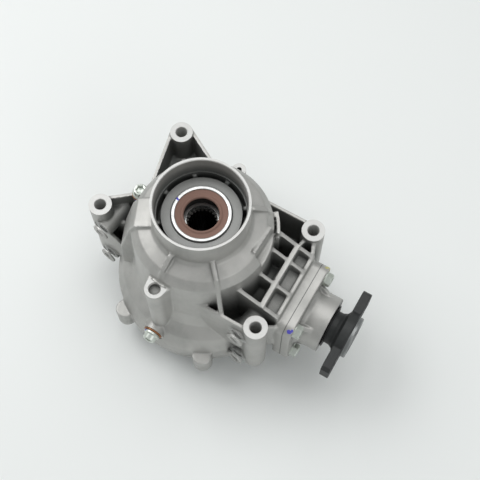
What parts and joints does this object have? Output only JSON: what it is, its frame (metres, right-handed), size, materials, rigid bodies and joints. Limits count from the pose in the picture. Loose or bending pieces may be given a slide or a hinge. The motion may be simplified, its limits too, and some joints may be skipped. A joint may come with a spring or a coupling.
{
  "type": "rear differential",
  "caption": "Cast differential housing with tall axle collar, mounting lugs, side cover, bevel ring gear and pinion, carrier with side and spider gears, and an input flange.",
  "frame": {"origin": "centre of the mouth of the lower axle collar, on which the part stands", "axes": "+Z along the axle axis toward the tall collar, +X along the input shaft toward the flange, +Y up in the vehicle"},
  "size_m": [0.284, 0.1964, 0.213],
  "materials": {
    "cast_body": "sand cast, matt, machined on the faces",
    "zinc": "zinc plated",
    "copper": "worn copper",
    "gasket": "pressed fibre",
    "seal_rubber": "matt",
    "seal_steel": "pressed",
    "bearing_steel": "ground",
    "gear_steel": "ground and oiled",
    "carrier_iron": "cast, machined on the seats",
    "black_steel": "black phosphate"
  },
  "bodies": {
    "case": {"gear_case": "cast_body", "side_cover": "cast_body", "cover_gasket": "gasket", "cover_bolts": "zinc", "dowel_pins": "bearing_steel", "axle_seal_case_upper": "seal_steel", "axle_seal_case_lower": "seal_steel", "axle_seal_lip_upper": "seal_rubber", "axle_seal_lip_lower": "seal_rubber", "upper_bearing_outer_race": "bearing_steel", "upper_bearing_balls": "bearing_steel", "lower_bearing_outer_race": "bearing_steel", "lower_bearing_balls": "bearing_steel", "head_bearing_outer_race": "bearing_steel", "head_bearing_balls": "bearing_steel", "tail_bearing_outer_race": "bearing_steel", "tail_bearing_balls": "bearing_steel", "bearing_shim": "bearing_steel", "pinion_retainer": "cast_body", "retainer_o_ring": "seal_rubber", "retainer_bolts": "zinc", "input_seal_case": "seal_steel", "input_seal_lip": "seal_rubber", "filler_plug": "zinc", "filler_washer": "copper", "drain_plug": "zinc", "drain_washer": "copper"},
    "carrier": {"differential_carrier": "carrier_iron", "ring_gear": "gear_steel", "ring_gear_bolts": "gear_steel", "cross_pin": "gear_steel", "cross_pin_lock": "gear_steel", "upper_bearing_inner_race": "bearing_steel", "lower_bearing_inner_race": "bearing_steel", "thrust_washer_upper": "bearing_steel", "thrust_washer_lower": "bearing_steel", "spider_washers": "bearing_steel"},
    "side_gear_upper": {"side_gear_upper": "gear_steel"},
    "side_gear_lower": {"side_gear_lower": "gear_steel"},
    "spider_a": {"spider_gear_a": "gear_steel"},
    "spider_b": {"spider_gear_b": "gear_steel"},
    "pinion": {"pinion_gear": "gear_steel", "head_bearing_inner_race": "bearing_steel", "tail_bearing_inner_race": "bearing_steel", "pinion_spacer": "gear_steel", "dust_slinger": "seal_steel", "input_flange": "black_steel", "flange_nut_washer": "zinc", "flange_nut": "zinc"}
  },
  "joints": [
    {"name": "carrier_spin", "type": "hinge", "parent": "case", "child": "carrier", "pos_m": [0, 0, 0.08], "axis": [0, 0, 1], "continuous": true},
    {"name": "pinion_spin", "type": "hinge", "parent": "case", "child": "pinion", "pos_m": [0, 0, 0.08], "axis": [1, 0, 0], "continuous": true},
    {"name": "side_gear_upper_spin", "type": "hinge", "parent": "carrier", "child": "side_gear_upper", "pos_m": [0, 0, 0.08], "axis": [0, 0, 1], "continuous": true},
    {"name": "side_gear_lower_spin", "type": "hinge", "parent": "carrier", "child": "side_gear_lower", "pos_m": [0, 0, 0.08], "axis": [0, 0, 1], "continuous": true},
    {"name": "spider_a_spin", "type": "hinge", "parent": "carrier", "child": "spider_a", "pos_m": [0, 0, 0.08], "axis": [0, 1, 0], "continuous": true},
    {"name": "spider_b_spin", "type": "hinge", "parent": "carrier", "child": "spider_b", "pos_m": [0, 0, 0.08], "axis": [0, 1, 0], "continuous": true}
  ],
  "couplings": [
    {"joint": "pinion_spin", "follows": "carrier_spin", "ratio": 3.3},
    {"joint": "side_gear_lower_spin", "follows": "side_gear_upper_spin", "ratio": -1},
    {"joint": "spider_a_spin", "follows": "side_gear_upper_spin", "ratio": -1.4},
    {"joint": "spider_b_spin", "follows": "side_gear_upper_spin", "ratio": 1.4}
  ]
}
